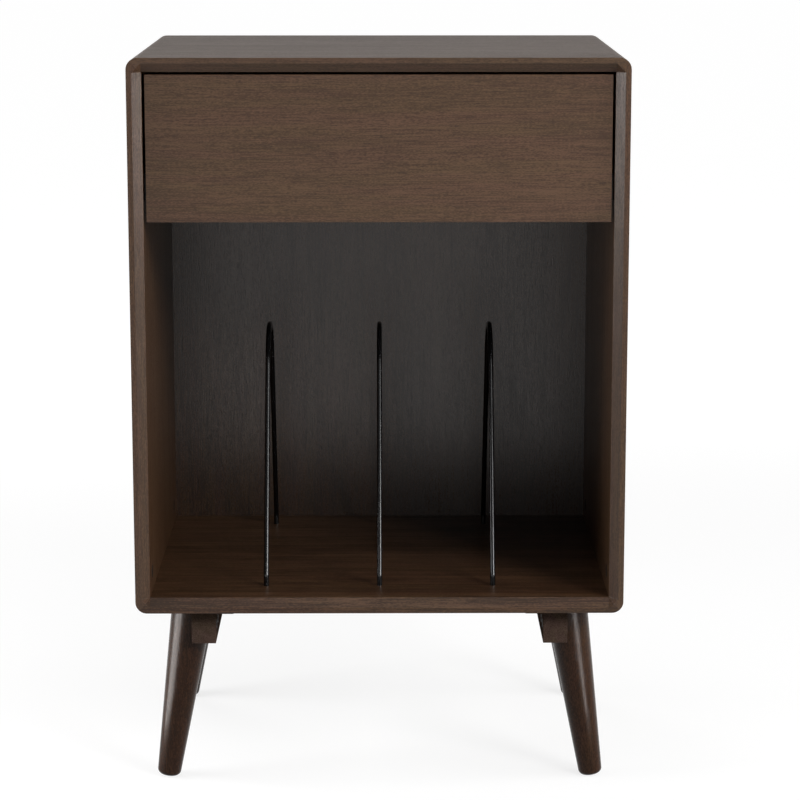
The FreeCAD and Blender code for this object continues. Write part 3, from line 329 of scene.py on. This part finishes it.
SIDE_SPECULAR = 0.39
BOARD_CONTRAST = 0.6
finishes = {
    "top_panel": wood("top_wood", ALONG_X, CASE_TONES, seed=11.0),
    # Bottom panel: painted shade in its darker tones
    "bottom_panel": wood(
        "bottom_wood", ALONG_X, BOTTOM_SHADED_TONES, seed=23.0,
        specular=0.33, contrast=1.25, shares=BOLD_GRAIN,
    ),
    "left_side_panel": wood(
        "left_side_wood", ALONG_Z, SIDE_TONES, seed=37.0, specular=SIDE_SPECULAR
    ),
    "right_side_panel": wood(
        "right_side_wood", ALONG_Z, SIDE_TONES, seed=53.0, specular=SIDE_SPECULAR
    ),
    "drawer_front": wood("drawer_front_wood", ALONG_X, DRAWER_TONES, seed=71.0),
    "back_panel": wood(
        "back_board", ALONG_Z, BACK_TONES, seed=5.0, roughness=0.30, specular=0.56, contrast=2.0
    ),
}
for node, along, seed in (
    ("drawer_left_side", ALONG_Y, 17.0),
    ("drawer_right_side", ALONG_Y, 29.0),
    ("drawer_back", ALONG_X, 41.0),
    ("drawer_bottom", ALONG_X, 61.0),
):
    board = node.removesuffix("_side") + "_board"
    finishes[node] = wood(board, along, BOARD_TONES, seed, contrast=BOARD_CONTRAST)

LEG_SEED, RAIL_SEED, SEED_STEP = 80.0, 120.0, 9.0
legs = [name for name in nodes if name.startswith(("leg_front", "leg_rear"))]
for number, name in enumerate(legs):
    seed = LEG_SEED + SEED_STEP * number
    finishes[name] = wood(f"{name}_wood", ALONG_Z, LEG_TONES, seed, roughness=0.22, specular=0.12)
rails = [name for name in nodes if name.startswith(("leg_rail", "rail_plate"))]
for number, name in enumerate(rails):
    seed = RAIL_SEED + SEED_STEP * number
    # Rails without sheen, their tones painted lighter to stand in for it
    finishes[name] = wood(f"{name}_wood", ALONG_Y, RAIL_PAINTED_LIGHT_TONES, seed, roughness=0.45, specular=0.0)

black_coat = coated("divider_coat", (0.004, 0.004, 0.0045), roughness=0.16, strength=0.006)
slide_coat = coated("slide_coat", (0.022, 0.022, 0.023), roughness=0.38)
nylon = coated("roller_nylon", (0.70, 0.69, 0.65), roughness=0.45, peel=1500.0)
black_steel = coated("black_screw_coat", (0.02, 0.02, 0.02), roughness=0.50, specular=0.25)
zinc = metal("zinc_plate", (0.60, 0.60, 0.61), roughness=0.34)
brass = metal("insert_brass", (0.62, 0.48, 0.22), roughness=0.34)
beech = wood("dowel_beech", ALONG_X, BEECH_TONES, seed=3.0, roughness=0.55)


def paint(piece, material):
    """Gives every slot of a piece one material."""
    if not piece.material_slots:
        piece.data.materials.append(material)
    for slot in piece.material_slots:
        slot.material = material


# The finish of a node by a word in its name, and zinc where none of them fits
FINISH_WORDS = (
    ("divider", black_coat),
    ("slide_channel", slide_coat),
    ("drawer_runner", slide_coat),
    ("roller_left", nylon),
    ("roller_right", nylon),
    ("back_panel_screws", black_steel),
    ("corner_cams", black_steel),
    ("leg_bolts", black_steel),
    ("plate_screws", black_steel),
    ("insert", brass),
    ("dowel", beech),
)
for name, piece in nodes.items():
    material = finishes.get(name)
    if material is None:
        material = next((made for word, made in FINISH_WORDS if word in name), zinc)
    paint(piece, material)


# Screws and bolts in full detail, where the CAD model has plain ones

TURN_STEPS = 40
WELD = 0.000002

# Shares of a fastener's own shank radius, head radius or head height
THREAD_PITCH, THREAD_DEPTH, TIP_LENGTH = 0.45, 0.22, 1.6
PAN_RIM, PAN_FOOT = 0.35, 0.96
FLAT_RIM = 0.06
CAP_EDGE = 0.10
CROSS_REACH, CROSS_HALF_WIDTH, CROSS_DEPTH, CROSS_FOOT = 0.62, 0.13, 0.50, 0.35
HEX_RADIUS, HEX_DEPTH, HEX_CONE = 0.56, 0.55, 0.20
CUTTER_LIFT = 0.3

CROWN_DEGREES = (0, 14, 28, 42, 56, 70, 80)
HEX_SIDES = 6
SQUARE = ((-1, -1), (1, -1), (1, 1), (-1, 1))


def ring(form, radius, height, steps):
    """New points evenly round Z."""
    turns = [2 * math.pi * step / steps for step in range(steps)]
    places = [(radius * math.cos(turn), radius * math.sin(turn), height) for turn in turns]
    return [form.verts.new(place) for place in places]


def wall(form, below, above):
    """Faces between two rings with as many points."""
    for step in range(len(below)):
        following = (step + 1) % len(below)
        form.faces.new((below[step], below[following], above[following], above[step]))


def cone(form, tip, rim):
    """Faces from a ring down to a point."""
    for step in range(len(rim)):
        form.faces.new((tip, rim[(step + 1) % len(rim)], rim[step]))


def turned(profile):
    """A closed lathe form about Z, from (radius, height) points, with both ends on the axis."""
    form = bmesh.new()
    rings = [ring(form, radius, height, TURN_STEPS) for radius, height in profile[1:-1]]
    cone(form, form.verts.new((0.0, 0.0, profile[0][1])), rings[0])
    cone(form, form.verts.new((0.0, 0.0, profile[-1][1])), rings[-1][::-1])
    for below, above in zip(rings, rings[1:]):
        wall(form, below, above)
    return form


def threaded(radius, length):
    """Profile points of a ridged shank that ends in a point at -length."""
    pitch = THREAD_PITCH * radius
    root = radius - THREAD_DEPTH * radius
    start = -length + TIP_LENGTH * radius
    ridges = int(-start / pitch)
    points = [(0.0, -length)]
    for ridge in range(ridges):
        height = start + ridge * pitch
        points.append((root, height))
        points.append((radius, height + pitch / 2))
    points.append((root, start + ridges * pitch))
    return points


def pan_head(radius, height):
    """A low dome with a short upright rim."""
    rim = PAN_RIM * height
    crown = [
        (radius * math.cos(angle), rim + (height - rim) * math.sin(angle))
        for angle in map(math.radians, CROWN_DEGREES)
    ]
    return [(PAN_FOOT * radius, 0.0), *crown, (0.0, height)]


def flat_head(radius, shank):
    """A cone up to a thin rim and a flat top, flush at zero."""
    rim = FLAT_RIM * radius
    sunk = [(shank, shank - radius), (radius, -rim)]
    return [*sunk, (radius, 0.0), (radius - rim, 0.0), (0.0, 0.0)]


def cap_head(radius, height):
    """An upright drum with a chamfered top edge."""
    edge = CAP_EDGE * radius
    low = [(radius - edge / 2, 0.0), (radius, edge / 2)]
    return [*low, (radius, height - edge), (radius - edge, height), (0.0, height)]


def cross_recess(radius, top):
    """The cutter of a cross recess: two tapered blades."""
    form = bmesh.new()
    reach, half = CROSS_REACH * radius, CROSS_HALF_WIDTH * radius
    levels = (
        (CROSS_FOOT * reach, top - CROSS_DEPTH * radius),
        (reach, top),
        (reach, top + CUTTER_LIFT * radius),
    )
    for turn in (0.0, math.pi / 2):
        spin = Matrix.Rotation(turn, 3, "Z")
        blades = [
            [form.verts.new(spin @ Vector((x * length, y * half, height))) for x, y in SQUARE]
            for length, height in levels
        ]
        form.faces.new(blades[0][::-1])
        form.faces.new(blades[-1])
        for below, above in zip(blades, blades[1:]):
            wall(form, below, above)
    return form


def hex_recess(radius, top):
    """The cutter of a hexagon socket with a cone at its foot."""
    form = bmesh.new()
    across, foot = HEX_RADIUS * radius, top - HEX_DEPTH * radius
    low = ring(form, across, foot, HEX_SIDES)
    high = ring(form, across, top + CUTTER_LIFT * radius, HEX_SIDES)
    form.faces.new(high)
    cone(form, form.verts.new((0.0, 0.0, foot - HEX_CONE * radius)), low)
    wall(form, low, high)
    return form


def mesh_of(form, name):
    bmesh.ops.recalc_face_normals(form, faces=form.faces)
    mesh = bpy.data.meshes.new(name)
    form.to_mesh(mesh)
    form.free()
    return mesh


def carved(name, body, cutter):
    """The body with the cutter taken out of it, as one mesh."""
    piece = bpy.data.objects.new(f"{name}_body", mesh_of(body, f"{name}_body"))
    helper = bpy.data.objects.new(f"{name}_cutter", mesh_of(cutter, f"{name}_cutter"))
    for made in (piece, helper):
        bpy.context.scene.collection.objects.link(made)
    carve = piece.modifiers.new("carve", "BOOLEAN")
    carve.operation = "DIFFERENCE"
    carve.solver = "EXACT"
    carve.use_self = True
    carve.object = helper
    bpy.context.view_layer.update()
    carved_piece = piece.evaluated_get(bpy.context.evaluated_depsgraph_get())
    result = bpy.data.meshes.new_from_object(carved_piece)
    for made in (piece, helper):
        bpy.data.objects.remove(made)
    welded = bmesh.new()
    welded.from_mesh(result)
    bmesh.ops.remove_doubles(welded, verts=welded.verts, dist=WELD)
    welded.to_mesh(result)
    welded.free()
    return result


NEAR = 0.012

# Which way the heads of a set face along its axis, on the minus and on the plus side of the middle
MINUS, PLUS, BOTH_OUT, BOTH_IN = (-1, -1), (1, 1), (-1, 1), (1, -1)


def seats(node, axis, facing):
    """Where each fastener of a node has the middle of its outer face, and which way that faces."""
    groups = []
    for vertex in nodes[node].data.vertices:
        place = vertex.co
        positive = place[axis] > 0
        across = [place[other] for other in range(3) if other != axis]
        for first, side, places in groups:
            if side == positive and math.dist(first, across) < NEAR:
                places.append(place)
                break
        else:
            groups.append((across, positive, [place]))
    found = []
    for _, positive, places in groups:
        ahead = Vector((0.0, 0.0, 0.0))
        ahead[axis] = facing[positive]
        low = Vector(min(place[part] for place in places) for part in range(3))
        high = Vector(max(place[part] for place in places) for part in range(3))
        middle = (low + high) / 2
        middle[axis] = high[axis] if ahead[axis] > 0 else low[axis]
        found.append((middle, ahead))
    return found


RECESS_TURN = 0.9


def fasteners(node, pattern, axis, facing, head_height, body, material):
    """One piece with a copy of the pattern at each seat, in place of the CAD node."""
    whole = bmesh.new()
    for number, (seat, ahead) in enumerate(seats(node, axis, facing)):
        single = bmesh.new()
        single.from_mesh(pattern)
        spin = Matrix.Rotation(RECESS_TURN * number, 4, "Z")
        stand = ahead.to_track_quat("Z", "Y").to_matrix().to_4x4()
        single.transform(Matrix.Translation(seat - ahead * head_height) @ stand @ spin)
        copy = bpy.data.meshes.new("copy")
        single.to_mesh(copy)
        single.free()
        whole.from_mesh(copy)
        bpy.data.meshes.remove(copy)
    name = f"{node}_detailed"
    mesh = bpy.data.meshes.new(name)
    whole.to_mesh(mesh)
    whole.free()
    piece = bpy.data.objects.new(name, mesh)
    bpy.context.scene.collection.objects.link(piece)
    paint(piece, material)
    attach(piece, body)
    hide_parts(node)


def screw_pattern(name, head, radius, height, shank, length):
    """A screw about Z whose head stands on zero, or lies flush below it."""
    if head == "flat":
        sunk = radius - shank
        thread = [(r, z - sunk) for r, z in threaded(shank, length - sunk)]
        top, cutter = flat_head(radius, shank), cross_recess(radius, 0.0)
    elif head == "cap":
        thread = threaded(shank, length)
        top, cutter = cap_head(radius, height), hex_recess(radius, height)
    else:
        thread = threaded(shank, length)
        top, cutter = pan_head(radius, height), cross_recess(radius, height)
    return carved(name, turned([*thread, *top]), cutter)


# Head form, then head radius and height, shank radius and length in millimetres
SCREW_SIZES = {
    "back_panel_screws": ("pan", 3.0, 1.4, 1.5, 15.0),
    "runner_screws": ("pan", 3.4, 1.5, 1.75, 10.2),
    "channel_screws": ("pan", 3.4, 1.5, 1.75, 10.2),
    "plate_screws": ("flat", 4.0, 0.0, 2.0, 16.0),
    "drawer_back_screws": ("flat", 4.0, 0.0, 2.5, 40.0),
    "leg_bolts": ("cap", 5.25, 4.0, 3.0, 37.4),
}
# Axis, sides that the heads face, body, material slot and finish
SCREW_USES = {
    "back_panel_screws": (ALONG_Y, PLUS, "case", "black_screw", black_steel),
    "runner_screws": (ALONG_X, BOTH_OUT, "drawer", "zinc_steel", zinc),
    "channel_screws": (ALONG_X, BOTH_IN, "case", "zinc_steel", zinc),
    "plate_screws": (ALONG_Z, MINUS, "case", "black_screw", black_steel),
    "drawer_back_screws": (ALONG_X, BOTH_OUT, "drawer", "zinc_steel", zinc),
    "leg_bolts": (ALONG_X, BOTH_IN, "case", "black_screw", black_steel),
}
for node, (head, *sizes) in SCREW_SIZES.items():
    radius, height, shank, length = (MM * size for size in sizes)
    pattern = screw_pattern(node, head, radius, height, shank, length)
    axis, facing, body, slot, finish = SCREW_USES[node]
    fasteners(node, pattern, axis, facing, height, body, finish)


# Floor and light

FLOOR_REACH = 60.0
FLOOR_SHADE = 0.24
FLOOR_ROUGHNESS = 0.9
FLOOR_GLOW = (0.79, 0.985)
FLOOR_GLOW_REACH = (0.8, 3.0)
AMBIENT = 0.035
SKY = 0.14
HORIZON_GLOW = 1.0
HAZE_DEGREES = (6.0, 14.0)


def make_floor():
    """A pale floor that is white to the eye further out and keeps the object's shadow."""
    mesh = bpy.data.meshes.new("floor")
    corners = [(x * FLOOR_REACH, y * FLOOR_REACH, 0.0) for x, y in SQUARE]
    mesh.from_pydata(corners, [], [(0, 1, 2, 3)])
    floor = bpy.data.objects.new("floor", mesh)
    bpy.context.scene.collection.objects.link(floor)
    s = Surface("floor_paper")
    fade = s.span(s.length(s.coords), *FLOOR_GLOW_REACH, *FLOOR_GLOW, curve="SMOOTHSTEP")
    s.set(
        Base_Color=rgb((FLOOR_SHADE,) * 3),
        Roughness=FLOOR_ROUGHNESS,
        Specular_IOR_Level=0.0,
        Emission_Color=WHITE,
        Emission_Strength=s.calc("MULTIPLY", s.seen_directly(), fade),
    )
    paint(floor, s.material)


def make_world():
    """A weak white light all round, and a sky to look at that is white low down."""
    world = bpy.data.worlds.new("studio")
    world.use_nodes = True
    bpy.context.scene.world = world
    g = Graph(world.node_tree)
    parts = g.add("ShaderNodeSeparateXYZ")
    g.feed(parts.inputs[0], g.add("ShaderNodeTexCoord").outputs["Generated"])
    low, high = (math.sin(math.radians(degrees)) for degrees in HAZE_DEGREES)
    haze = g.span(parts.outputs["Z"], low, high, HORIZON_GLOW, SKY, curve="SMOOTHSTEP")
    strength = g.add("ShaderNodeMix")
    g.feed(strength.inputs["Factor"], g.seen_directly())
    g.feed(strength.inputs["A"], AMBIENT)
    g.feed(strength.inputs["B"], haze)
    background = world.node_tree.nodes["Background"]
    background.inputs["Color"].default_value = WHITE
    g.feed(background.inputs["Strength"], strength.outputs["Result"])


def softbox(name, place, target, width, height, radiance, mirrored=True, lights=True, only=None):
    """A rectangular lamp that faces the target, as bright as a wall of that radiance.

    With only, it shines just on the nodes whose names start with that word.
    """
    lamp = bpy.data.lights.new(name, "AREA")
    lamp.shape = "RECTANGLE"
    lamp.size = width
    lamp.size_y = height
    lamp.energy = radiance * math.pi * width * height
    piece = bpy.data.objects.new(name, lamp)
    piece.location = place
    piece.rotation_mode = "QUATERNION"
    piece.rotation_quaternion = (Vector(target) - Vector(place)).to_track_quat("-Z", "Y")
    piece.visible_camera = False
    piece.visible_glossy = mirrored
    piece.visible_diffuse = lights
    bpy.context.scene.collection.objects.link(piece)
    if only is not None:
        receivers = bpy.data.collections.new(f"{name}_receivers")
        for node, part in nodes.items():
            if node.startswith(only):
                receivers.objects.link(part)
        piece.light_linking.receiver_collection = receivers


KEY_PLACE, KEY_TARGET = (2.05, -2.35, 2.00), (0.0, -0.2, 0.45)
SHEEN_PLACE = (1.85, -2.50, 2.00)
LAMPS = {
    "key": dict(
        place=KEY_PLACE, target=KEY_TARGET, width=1.1, height=1.1, radiance=16.2, mirrored=False
    ),
    "key_sheen": dict(
        place=SHEEN_PLACE, target=KEY_TARGET, width=2.0, height=2.0, radiance=1.6, lights=False
    ),
    "side_left": dict(
        place=(-1.7, -0.15, 0.92), target=(0.0, -0.15, 0.85), width=1.2, height=0.9, radiance=9.3
    ),
    "side_right": dict(
        place=(1.7, -0.45, 0.92), target=(0.0, -0.2, 0.85), width=1.2, height=0.9, radiance=6.2
    ),
    "overhead": dict(
        place=(0.0, -0.7, 2.9), target=(0.0, -0.2, 0.5), width=2.0, height=2.0, radiance=1.3
    ),
    "rear": dict(
        place=(-1.3, 2.6, 2.0), target=(0.0, 0.2, 0.45), width=1.4, height=1.4, radiance=4.0,
        mirrored=False,
    ),
    "left_leg_card": dict(
        place=(-0.49, -0.24, 0.10), target=(-0.23, -0.17, 0.11), width=0.22, height=0.20,
        radiance=18.0, lights=False, only="leg_front",
    ),
    "right_leg_card": dict(
        place=(0.38, -0.36, 0.10), target=(0.23, -0.17, 0.11), width=0.08, height=0.20,
        radiance=15.0, lights=False, only="leg_front",
    ),
    "rod_card": dict(
        place=(2.0, -2.35, 0.95), target=(0.0, -0.1, 0.4), width=0.7, height=1.5, radiance=24.0,
        lights=False, only="record_divider",
    ),
}

make_floor()
make_world()
for name, settings in LAMPS.items():
    softbox(name, **settings)


# Camera

EYE = Vector((0.00425, -3.195, 1.026))
PITCH = 0.19
YAW = 0.0063
LENS_MM = 123.13
SENSOR_MM = 36.0

view = bpy.data.cameras.new("camera")
view.lens = LENS_MM
view.sensor_width = SENSOR_MM
camera = bpy.data.objects.new("camera", view)
camera.location = EYE
camera.rotation_mode = "QUATERNION"
level = math.cos(PITCH)
ahead = Vector((math.sin(YAW) * level, math.cos(YAW) * level, -math.sin(PITCH)))
camera.rotation_quaternion = ahead.to_track_quat("-Z", "Y")
bpy.context.scene.collection.objects.link(camera)
bpy.context.scene.camera = camera
bpy.context.scene.view_settings.view_transform = "Standard"
